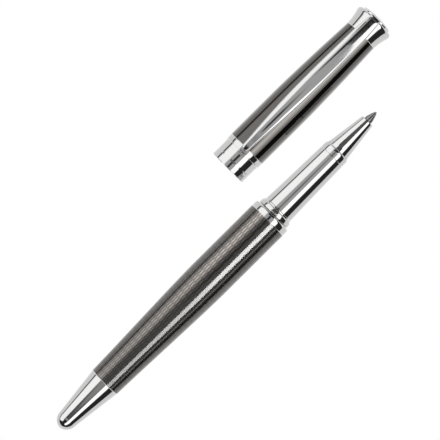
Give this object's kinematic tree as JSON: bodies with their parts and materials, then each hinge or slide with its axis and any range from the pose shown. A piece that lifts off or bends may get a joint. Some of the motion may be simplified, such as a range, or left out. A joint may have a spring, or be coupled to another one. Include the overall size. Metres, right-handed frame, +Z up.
{
  "type": "rollerball pen",
  "caption": "Metal rollerball pen with a screw-in chrome front section, a sprung refill and a pull-off clip cap, laid flat with its cap beside it.",
  "frame": {"origin": "centre of the footprint of the pen and its cap, on the surface that they lie on", "axes": "+X along the pen from its tail to its writing tip, +Y from the pen to the cap, +Z up"},
  "size_m": [0.144, 0.0304, 0.0142],
  "materials": {
    "chrome": "polished, mirror bright",
    "gunmetal_lacquer": "clear gloss lacquer over fine engine-turned gunmetal",
    "brass": "turned, unpolished",
    "black_plastic": "moulded satin",
    "refill_plastic": "moulded gloss",
    "white_plastic": "moulded satin",
    "ink_fibre": "ink-soaked fibre",
    "spring_steel": "drawn wire",
    "tip_steel": "turned nickel silver",
    "carbide": "ground, satin",
    "seal_rubber": "moulded matt"
  },
  "bodies": {
    "barrel": {"barrel_shell": "gunmetal_lacquer", "tail_cone": "chrome", "tail_stud": "brass", "barrel_collar": "chrome", "refill_spring": "spring_steel", "barrel_bush": "brass"},
    "section_core": {"section_liner": "white_plastic"},
    "section": {"section_thread": "brass", "grip_collar": "chrome", "grip_tube": "chrome", "grip_front_ring": "chrome", "nose_cone": "chrome"},
    "refill": {"refill_plug": "black_plastic", "refill_tube": "refill_plastic", "refill_core": "ink_fibre", "refill_front": "black_plastic", "refill_feed": "ink_fibre", "refill_tip": "tip_steel"},
    "ball": {"writing_ball": "carbide"},
    "cap": {"cap_tube": "gunmetal_lacquer", "cap_mouth_band": "chrome", "cap_trim_ring": "chrome", "cap_clutch_ring": "spring_steel", "inner_cap": "black_plastic", "tip_seal": "seal_rubber", "cap_crown": "chrome", "crown_disc": "chrome", "crown_nut": "brass", "clip_ring": "chrome"},
    "clip": {"clip": "chrome"}
  },
  "joints": [
    {"name": "cap_pull", "type": "slide", "parent": "barrel", "child": "cap", "axis": [1, 0, 0], "range_m": [0, 0.042]},
    {"name": "clip_flex", "type": "hinge", "parent": "cap", "child": "clip", "pos_m": [0.07085, 0.00953, 0.01243], "axis": [0, 0.9984, -0.0558], "range_deg": [0, 2.5], "stiffness_Nm_per_rad": 8},
    {"name": "section_advance", "type": "slide", "parent": "barrel", "child": "section_core", "axis": [1, 0, 0], "range_m": [0, 0.0046]},
    {"name": "section_turn", "type": "hinge", "parent": "section_core", "child": "section", "pos_m": [0.00695, -0.00913, 0.0061], "axis": [1, 0, 0], "range_deg": [0, 1620]},
    {"name": "refill_press", "type": "slide", "parent": "section_core", "child": "refill", "axis": [1, 0, 0], "range_m": [-0.0012, 0], "stiffness_N_per_m": 250, "springref_m": 0.002, "deforming": ["refill_spring"]},
    {"name": "ball_roll", "type": "hinge", "parent": "refill", "child": "ball", "pos_m": [0.0527, -0.00913, 0.0061], "axis": [0, 1, 0], "continuous": true}
  ],
  "couplings": [
    {"joint": "section_advance", "follows": "section_turn", "m_per_rad": 0.00015915}
  ]
}
